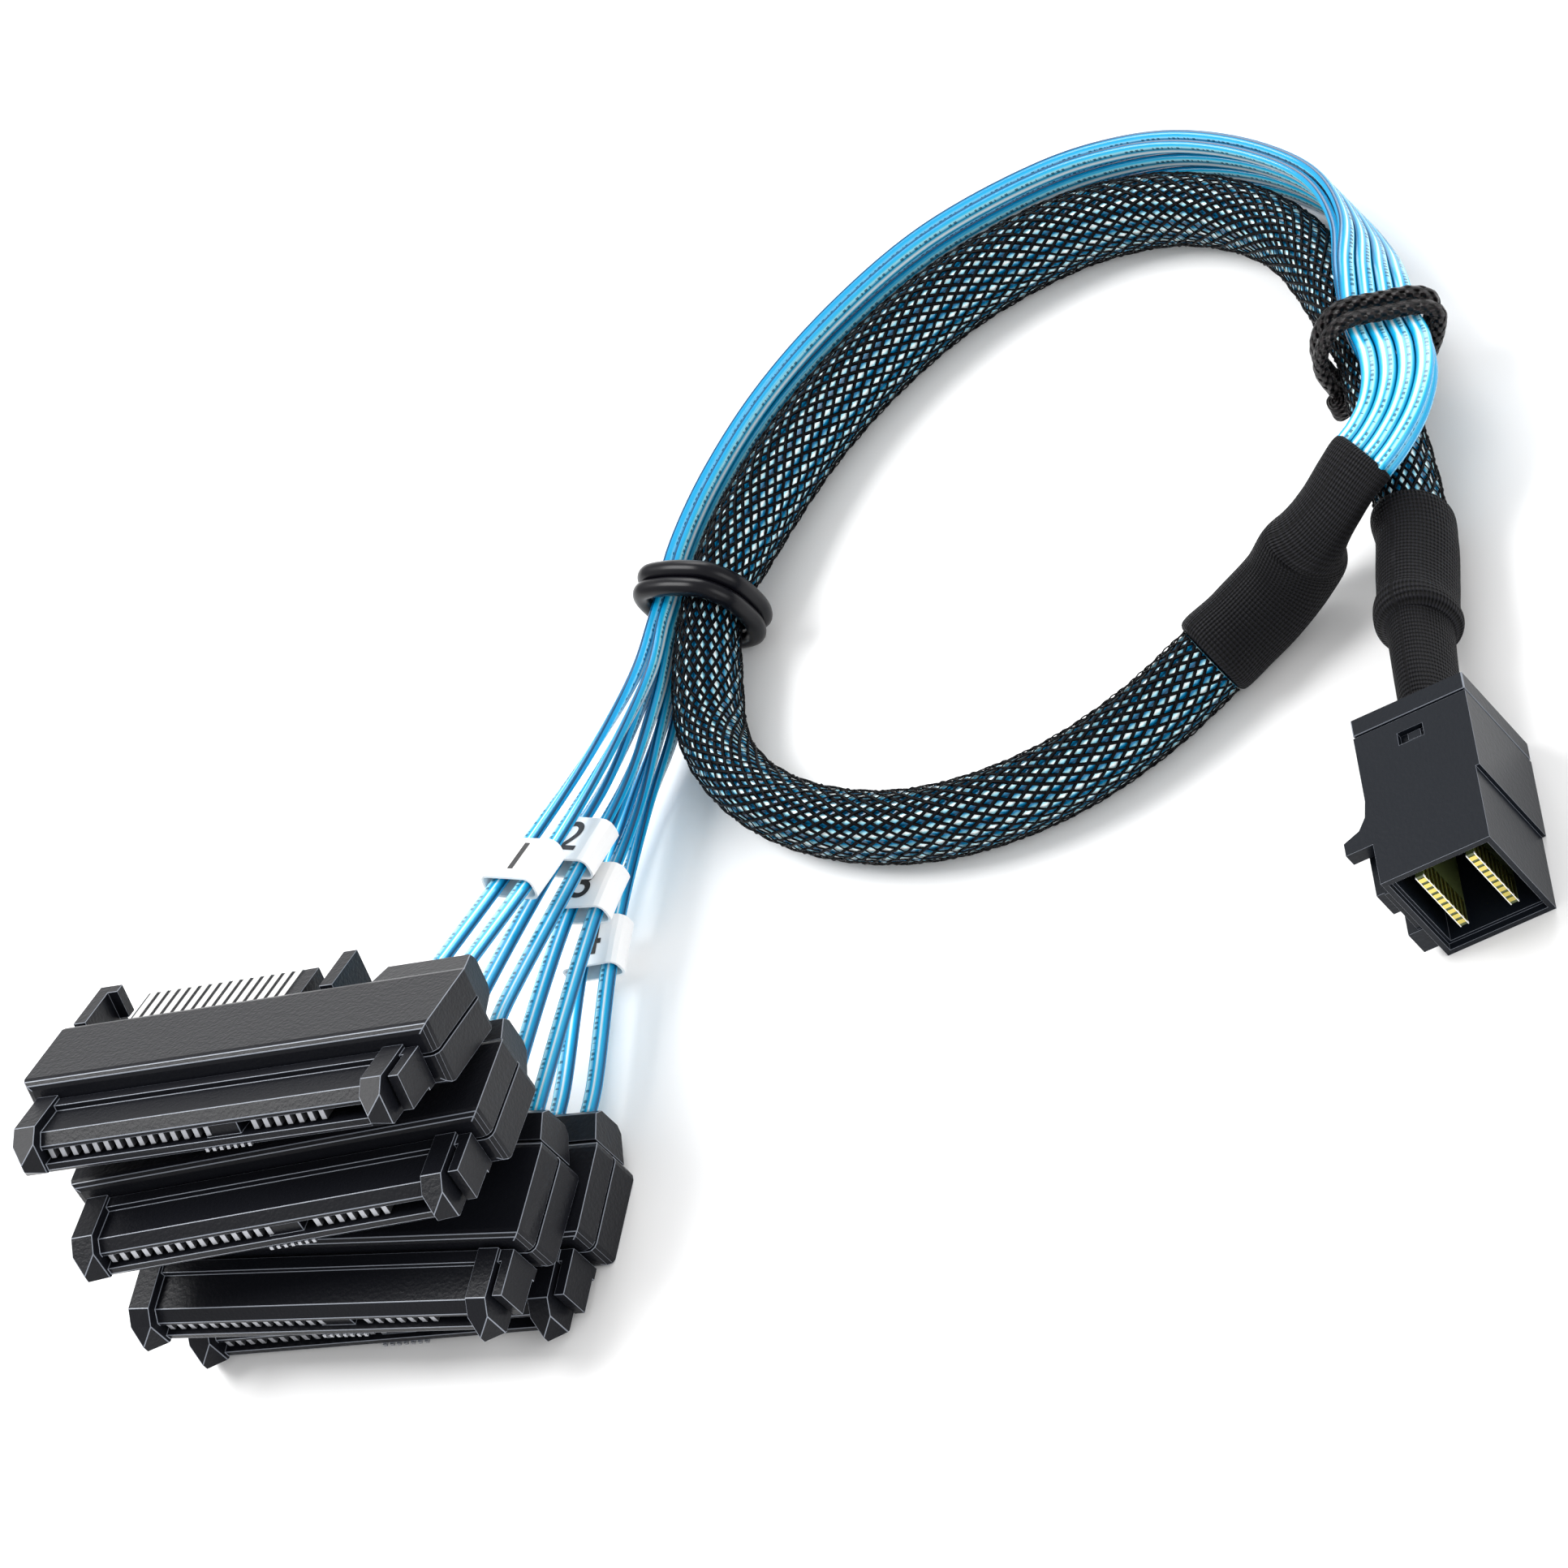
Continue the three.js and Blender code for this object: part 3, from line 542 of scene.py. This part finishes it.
def strand_family(line, sense, half_up, half_across):
    """Strands as flat ribbons: angle = 2 pi n / N + sense * TURN * s,
    lift = sense * LIFT * cos(pi * crossings)."""
    _, upright, across = frames(line)
    s = np.concatenate([[0], np.cumsum(np.linalg.norm(np.diff(line, axis=0), axis=1))])
    half_up, half_across = half_up * cinched(line), half_across * cinched(line)
    points, faces, start = [], [], 0
    count = len(line)
    for n in range(STRANDS):
        angle = 2 * np.pi * n / STRANDS + sense * TURN * s
        crossing = 2 * TURN * s / (2 * math.pi / STRANDS)
        lift = STRAND_LIFT * sense * np.cos(math.pi * (crossing + n))
        corners = []
        for shift, rise in STRAND_SECTION:
            a = angle + shift / np.hypot(half_up * np.sin(angle), half_across * np.cos(angle))
            r = lift + rise
            corners.append(line + upright * ((half_up + r) * np.cos(a))[:, None]
                           + across * ((half_across + r) * np.sin(a))[:, None])
        points.append(np.stack(corners, 1).reshape(-1, 3))
        faces += grid_faces(count, 4, start)
        start += 4 * count
    return np.vstack(points), faces


total = length_of(braid_line)
crossings = total * 2 * TURN / (2 * math.pi / STRANDS)
steps = int(crossings * STEPS_PER_CROSSING / (1))
strand_line = even(smooth(BRAID_ROUTE), steps)
for sense, name in ((1, "braid_strands_right"), (-1, "braid_strands_left")):
    points, faces = strand_family(strand_line, sense, BRAID_HALF_UP, BRAID_HALF_ACROSS)
    piece = mesh_piece(name, points, faces, strand)
    print(name, len(faces), "faces")

core_rows, core_cols = 260, 96
core_angle = 2 * np.pi * np.arange(core_cols) / core_cols
core_ripple = 1 + 0.022 * np.cos(CORE_RIDGES * core_angle)[None, :]
core_line = even(smooth(BRAID_ROUTE), core_rows)
keep = cinched(core_line)
points, uv = tube(core_line, None, CORE_HALF_UP * keep, CORE_HALF_ACROSS * keep, core_cols, core_ripple)
sleeve = mesh_piece("sleeve_core", points, grid_faces(core_rows, core_cols), core_look, True, uv)
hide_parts("braided_sleeve")
print("sleeve core done")

# %% [markdown]
# ## Flat ribbons
# Each ribbon carries two cores side by side, so its section is a flat oval with a waist. The
# eight ribbons keep their place in the stack until the rubber tie, then fan out to their blocks.

# %% Ribbons
def bundle_points(column, row):
    """Points of one ribbon in the bundle: its column and row, set off from the middle line."""
    middle = np.array([p[:3] for p in BUNDLE_ROUTE], float)
    lean = [p[3] for p in BUNDLE_ROUTE]
    spacing = np.array([p[4] for p in BUNDLE_ROUTE])[:, None]
    fine = 24
    tangent, _, _ = frames(smooth(BUNDLE_ROUTE, fine))
    tangent = tangent[::fine]
    upright = UP - tangent * tangent[:, 2:3]
    upright /= np.linalg.norm(upright, axis=1, keepdims=True)
    upright = turned(upright, tangent, -np.array(lean, float))
    across = np.cross(tangent, upright)
    place = middle + across * (column - 0.5) * RIBBON_COLUMN + upright * (1.5 - row) * spacing
    return [(*q, a) for q, a in zip(place, lean)]


def fan_points(k, column):
    """Points of one ribbon from the rubber tie to its connector, where it runs straight into the block."""
    out = []
    for (x, y, z, lean), spread in zip(FAN[k], FAN_SPREADS):
        apart = RIBBON_COLUMN + (RIBBON_SPREAD - RIBBON_COLUMN) * spread
        shift = np.array([-0.91, 0.41, 0.0]) * (column - 0.5) * apart
        out.append((*(np.array([x, y, z]) + shift), lean))
    x = 16.8 + (0.5 - column) * RIBBON_SPREAD
    for depth in (17.7, 14.7):
        out.append((*connector_points(k, [(x, depth, 3.5)])[0], 90))
    return out


def ribbon_line(k, column, count):
    points = bundle_points(column, k) + fan_points(k, column)
    first, second = np.array(points[0]), np.array(points[1])
    hidden = first + (first - second) * 0.3
    return even(smooth([tuple(hidden), *points]), count)


def ribbon_mesh(line, cols):
    """Flat section with a waist: half width H cos(a), half thickness T sin(a), thinner at the middle."""
    points, upright, across = line[:, :3], *frames(line, line[:, 3])[1:]
    a = 2 * np.pi * np.arange(cols) / cols
    flat = RIBBON_HALF * np.sign(np.cos(a)) * np.abs(np.cos(a)) ** 0.8
    waist = 1 - 0.28 * np.exp(-(flat / 0.20) ** 2)
    thick = RIBBON_HALF_THICK * np.sign(np.sin(a)) * np.abs(np.sin(a)) ** 0.7 * waist
    ring = points[:, None] + upright[:, None] * flat[None, :, None] + across[:, None] * thick[None, :, None]
    s = np.concatenate([[0], np.cumsum(np.linalg.norm(np.diff(points, axis=0), axis=1))])
    rows = len(points)
    v = (flat / RIBBON_HALF + 1) / 4
    v = np.where(np.sin(a) < 0, v, 1 - v)
    uv = np.stack([np.broadcast_to(s[:, None], (rows, cols)), np.broadcast_to(v, (rows, cols))], -1)
    return ring.reshape(-1, 3), uv.reshape(-1, 2)


RIBBON_STEPS, RIBBON_COLS = 240, 24
ribbons = {}
for k in range(4):
    for column, side in ((0, "inner"), (1, "outer")):
        line = ribbon_line(k, column, RIBBON_STEPS)
        points, uv = ribbon_mesh(line, RIBBON_COLS)
        faces = grid_faces(RIBBON_STEPS, RIBBON_COLS)
        piece = mesh_piece(f"ribbon_look_{k + 1}_{side}", points, faces, ribbon_look, True, uv)
        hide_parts(f"ribbon_{k + 1}_{side}")
        ribbons[k, column] = (piece, line)
        print(piece.name, round(length_of(line), 1), "mm")

# %% [markdown]
# ## Woven tapes
# The tapes are tubes whose half sizes change along the run. Adding the sizes as extra columns
# of the route lets the same smooth curve carry them.

# %% Tapes
def shaped_tube(name, stations, rows, cols, mat, wrinkle=0.0, seed=1):
    """Tube from stations (x, y, z, half_up, half_across), with slow wrinkles sin(k a + m s)."""
    line = even(smooth(stations), rows)
    angle = 2 * np.pi * np.arange(cols) / cols
    s = np.linspace(0, length_of(line), rows)[:, None]
    rng = np.random.default_rng(seed)
    ripple = np.ones((rows, cols))
    for k in (2, 3, 5):
        phase, speed = rng.uniform(0, 6.28), rng.uniform(0.3, 0.8)
        ripple += wrinkle / k * np.sin(k * angle[None, :] + speed * s + phase)
    points, uv = tube(line, None, line[:, 3], line[:, 4], cols, ripple)
    piece = mesh_piece(name, points, grid_faces(rows, cols), mat, True, uv)
    return piece


narrow = shaped_tube("tape_narrow_look", [
    (58.3, -12.6, 6.7, 4.0, 2.75), (58.35, -8.0, 6.7, 4.1, 2.75), (58.45, -3.0, 6.3, 4.2, 2.85),
    (58.5, 0.6, 6.0, 4.3, 3.0)], 60, 64, tape, 0.012, 3)
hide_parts("plug_tape_narrow")
wide = shaped_tube("tape_wide_look", [
    (58.5, -0.3, 6.0, 4.1, 3.0), (58.5, 0.3, 6.0, 4.85, 3.85), (58.5, 1.4, 5.95, 5.05, 4.05),
    (58.6, 2.4, 5.8, 4.75, 3.75), (58.9, 6.0, 5.3, 4.7, 3.7), (59.4, 10.6, 4.9, 4.7, 3.7),
    (59.4, 13.6, 4.9, 4.68, 3.66), (59.4, 13.75, 4.9, 4.3, 3.3)], 110, 64, tape, 0.012, 4)
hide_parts("plug_tape_wide")
fan = shaped_tube("fanout_look", [
    (36.9, 8.3, 4.8, 4.3, 3.35), (37.1, 8.4, 4.8, 4.7, 3.72), (41.0, 10.3, 4.8, 4.72, 3.8),
    (46.0, 12.5, 5.6, 4.65, 3.85), (49.0, 13.5, 7.2, 4.45, 3.9), (50.4, 13.6, 8.3, 3.5, 3.95),
    (51.6, 13.9, 9.1, 2.7, 3.95), (54.0, 14.8, 10.4, 2.0, 3.95), (56.3, 16.1, 11.3, 1.75, 3.95),
    (58.25, 17.4, 11.5, 1.72, 4.0), (58.45, 17.52, 11.5, 1.5, 3.8)], 150, 72, tape, 0.02, 5)
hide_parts("fanout_tape")
print("tapes done")

# %% [markdown]
# ## Ties
# Each tie is a closed ring drawn twice, a little further along. The rubber one stays smooth.
# The cord gets the bumps of its plait: r = r0 (1 + 0.07 (|sin(2a + k s)| + |sin(2a - k s)| - 1)).

# %% Ties
RUBBER_OUTLINE = [
    (-4.2, 0), (-3.7, 2.9), (-1.9, 4.8), (0.8, 5.2), (3.2, 5.0), (5.4, 4.35), (6.35, 3.0),
    (6.4, -1.0), (6.35, -4.0), (5.2, -5.2), (2.8, -5.25), (0, -5.15), (-2.8, -4.2), (-4.0, -2.1),
]
CORD_OUTLINE = [
    (-3.95, 0.1), (-3.7, 2.7), (-2.5, 5.0), (-0.6, 6.7), (1.4, 7.2), (4.7, 5.75), (7.9, 4.05),
    (8.8, 2.4), (7.5, 0.0), (5.1, -2.5), (2.8, -4.1), (0, -4.9), (-2.6, -3.95), (-3.8, -1.8),
]


def closed_line(points, count):
    """Closed smooth line: the curve through the points repeated three times, middle turn kept."""
    loop = np.vstack([points, points, points, points[:1]])
    fine = smooth(loop, 20)
    n = 20 * len(points)
    turn = fine[n:2 * n + 1]
    return even(turn, count + 1)[:-1]


def ring_points(outline, centre, along, slip, count):
    """A closed line square to the direction along: the outline's (across, up) set at centre + slip."""
    ahead = np.array([along[0], along[1], 0.0])
    ahead /= np.linalg.norm(ahead)
    out = np.array([ahead[1], -ahead[0], 0.0])
    places = [np.array(centre) + out * s + UP * z + ahead * slip for s, z in outline]
    return closed_line(np.array(places), count), ahead


def ring_mesh(line, ahead, radius, cols, plait=0.0):
    """Tube round a closed line, with the ring's own axis as one side of its frame."""
    tangent = np.roll(line, -1, 0) - np.roll(line, 1, 0)
    tangent /= np.linalg.norm(tangent, axis=1, keepdims=True)
    side = np.broadcast_to(ahead, tangent.shape)
    out = np.cross(tangent, side)
    out /= np.linalg.norm(out, axis=1, keepdims=True)
    side = np.cross(out, tangent)
    a = 2 * np.pi * np.arange(cols) / cols
    rows = len(line)
    s = np.arange(rows)[:, None] * length_of(np.vstack([line, line[:1]])) / rows
    plait_pitch = 2.6
    turns = round(length_of(line) / plait_pitch)
    k = 2 * np.pi * turns / length_of(np.vstack([line, line[:1]]))
    twist = 2 * a[None, :]
    r = radius * (1 + plait * (np.abs(np.sin(twist + k * s)) + np.abs(np.sin(twist - k * s)) - 1))
    points = (line[:, None] + out[:, None] * (r * np.cos(a))[..., None]
              + side[:, None] * (r * np.sin(a))[..., None])
    faces = []
    for i in range(rows):
        for j in range(cols):
            i2, j2 = (i + 1) % rows, (j + 1) % cols
            faces.append((i * cols + j, i * cols + j2, i2 * cols + j2, i2 * cols + j))
    uv = np.stack([np.broadcast_to(s, (rows, cols)), np.broadcast_to(a / (2 * np.pi), (rows, cols))], -1)
    return points.reshape(-1, 3), faces, uv.reshape(-1, 2)


def tie(name, outline, centre, along, slips, radius, mat, plait, slot, node):
    """A tie of two turns: slips holds how far along each turn sits and how much its outline grows."""
    parts, uvs = [], []
    for slip, grow in slips:
        grown = [(s * grow, z * grow) for s, z in outline]
        line, ahead = ring_points(grown, centre, along, slip, 260 if plait else 120)
        points, faces, uv = ring_mesh(line, ahead, radius, 24 if plait else 20, plait)
        parts.append((points, faces))
        uvs.append(uv)
    points, faces = joined(parts)
    piece = mesh_piece(name, points, faces, mat, True, np.vstack(uvs))
    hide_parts(node)
    return piece


rubber_piece = tie("rubber_tie_look", RUBBER_OUTLINE, RUBBER_TIE_AT, (-0.46, -0.89),
                   [(-0.92, 1.0), (0.92, 0.985)], 0.95, rubber, 0.0, "rubber", "rubber_tie")
cord_piece = tie("cord_tie_look", CORD_OUTLINE, CORD_TIE_AT, (-0.08, 1.0),
                 [(-1.12, 1.0), (0.92, 0.97)], 0.72, cord_look, 0.07, "cord", "cord_tie")


def bead(name, centre, radius, mat, plait):
    """A small knot: a ball whose radius swells where two turns of cord cross over it."""
    rows, cols = 40, 48
    v = np.linspace(0.02, math.pi - 0.02, rows)[:, None]
    a = 2 * np.pi * np.arange(cols)[None, :] / cols
    swell = np.sin(3 * v + 2 * a) * np.sin(v) + 0.5 * np.abs(np.sin(9 * v - 4 * a))
    r = radius * (1 + plait * swell)
    ring = (r * np.sin(v) * np.cos(a), r * np.sin(v) * np.sin(a), r * np.cos(v) * np.ones_like(a))
    points = np.stack(ring, -1).reshape(-1, 3) + np.array(centre)
    uv = np.stack([np.broadcast_to(4 * v, (rows, cols)), np.broadcast_to(a / (2 * np.pi), (rows, cols))], -1)
    piece = mesh_piece(name, points, grid_faces(rows, cols), mat, True, uv.reshape(-1, 2))
    return piece


knot = bead("cord_knot", (54.2, 31.3, 3.7), 1.35, cord_look, 0.12)
print("ties done")

# %% [markdown]
# ## Labels
# The wrap labels keep their CAD bands. Each gets a plain numeral on its upper side, made from
# the built-in letters and turned into a mesh.

# %% Labels
# How far back from the end of its ribbons each label's middle sits, and how far its print lies above them.
LABEL_BACK = (16.0, 24.5, 26.0, 19.0)
PRINT_RISE, NUMERAL_SIZE = 1.44, 5.2


def numeral(name, text, centre, right, up, size):
    """A flat numeral at centre (measured mm), drawn in the plane of right and up."""
    curve = bpy.data.curves.new(name, "FONT")
    curve.body = text
    curve.size = size
    curve.align_x, curve.align_y = "CENTER", "CENTER"
    curve.offset = 0.05
    made = bpy.data.objects.new(name + "_text", curve)
    bpy.context.scene.collection.objects.link(made)
    flat = bpy.data.meshes.new_from_object(made.evaluated_get(bpy.context.evaluated_depsgraph_get()))
    bpy.data.objects.remove(made)
    raw = np.array([v.co[:2] for v in flat.vertices], float)
    faces = [tuple(p.vertices) for p in flat.polygons]
    points = np.array(centre) + raw[:, :1] * right + raw[:, 1:] * up
    piece = mesh_piece(name, points, faces, ink, False)
    return piece


for k in range(4):
    a = ribbons[k, 0][1][:, :3]
    b = ribbons[k, 1][1][:, :3]
    middle = (a + b) / 2
    s = np.concatenate([[0], np.cumsum(np.linalg.norm(np.diff(middle, axis=0), axis=1))])
    here = s[-1] - LABEL_BACK[k]
    centre = np.array([np.interp(here, s, middle[:, i]) for i in range(3)])
    ahead = np.array([np.interp(here + 1, s, middle[:, i]) for i in range(3)]) - centre
    ahead /= np.linalg.norm(ahead)
    upright = UP - ahead * ahead[2]
    upright /= np.linalg.norm(upright)
    side = np.cross(ahead, upright)
    dress(f"label_{k + 1}", white, 0.00012)
    numeral(f"label_number_{k + 1}", str(k + 1), centre + upright * PRINT_RISE, -side, -ahead, NUMERAL_SIZE)
print("labels done")


for (k, column), (piece, line) in ribbons.items():
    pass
print("cords declared:", 1 + len(ribbons))

# %% [markdown]
# ## Floor, light and camera
# A pale floor and soft lights stand in for the photographer's table. The camera looks from the
# plug's front right, half-way down, and is rolled so that the cable climbs across the picture.

# %% Stage
floor_mesh = bpy.data.meshes.new("floor")
FLOOR_HALF, FLOOR_DROP = 4, -0.00005
corners = [(x * FLOOR_HALF, y * FLOOR_HALF, FLOOR_DROP) for x, y in ((-1, -1), (1, -1), (1, 1), (-1, 1))]
floor_mesh.from_pydata(corners, [], [(0, 1, 2, 3)])
floor_mesh.materials.append(material("pale floor", (0.94, 0.94, 0.94), 0.9, 0.0, 0.1))
floor = bpy.data.objects.new("floor", floor_mesh)
bpy.context.scene.collection.objects.link(floor)

world = bpy.data.worlds.new("studio")
bpy.context.scene.world = world
world.use_nodes = True
world.node_tree.nodes["Background"].inputs[0].default_value = (1, 1, 1, 1)
world.node_tree.nodes["Background"].inputs[1].default_value = 0.80


def area_light(name, place, target, size, power):
    lamp = bpy.data.lights.new(name, "AREA")
    lamp.shape = "SQUARE"
    lamp.size = size
    lamp.energy = power
    obj = bpy.data.objects.new(name, lamp)
    bpy.context.scene.collection.objects.link(obj)
    obj.location = place
    obj.rotation_euler = (Vector(target) - Vector(place)).to_track_quat("-Z", "Y").to_euler()
    return obj


area_light("key", (-0.45, 0.25, 0.75), (0, 0.02, 0), 0.45, 7.0)
area_light("fill", (0.7, -0.5, 0.5), (0, 0.02, 0), 0.6, 3.5)
area_light("rim", (0.1, 0.8, 0.45), (0, 0.02, 0), 0.5, 4.0)

AZIMUTH, ELEVATION, ROLL = 28.4, 45.3, 45.5
DISTANCE, SIDE, RISE = 1000.0, 11.68, -11.48
a, e, q = (math.radians(v) for v in (AZIMUTH, ELEVATION, ROLL))
level = np.array([math.cos(a), math.sin(a), 0.0])
away = np.array([-math.sin(a), math.cos(a), 0.0])
back = -math.cos(e) * away + math.sin(e) * UP
rise = math.sin(e) * away + math.cos(e) * UP
right = math.cos(q) * level - math.sin(q) * rise
top = math.sin(q) * level + math.cos(q) * rise
eye = to_world(back * DISTANCE - right * SIDE - top * RISE)
camera = bpy.data.objects.new("camera", bpy.data.cameras.new("camera"))
camera.data.lens = 242.4
camera.data.sensor_width = 36
camera.data.clip_start = 0.05
camera.data.clip_end = 20
camera.matrix_world = Matrix([[right[i], top[i], back[i], eye[i]] for i in range(3)] + [[0, 0, 0, 1]])
bpy.context.scene.collection.objects.link(camera)
bpy.context.scene.camera = camera
bpy.context.scene.view_settings.view_transform = "Standard"
print("camera at", [round(v, 3) for v in eye])
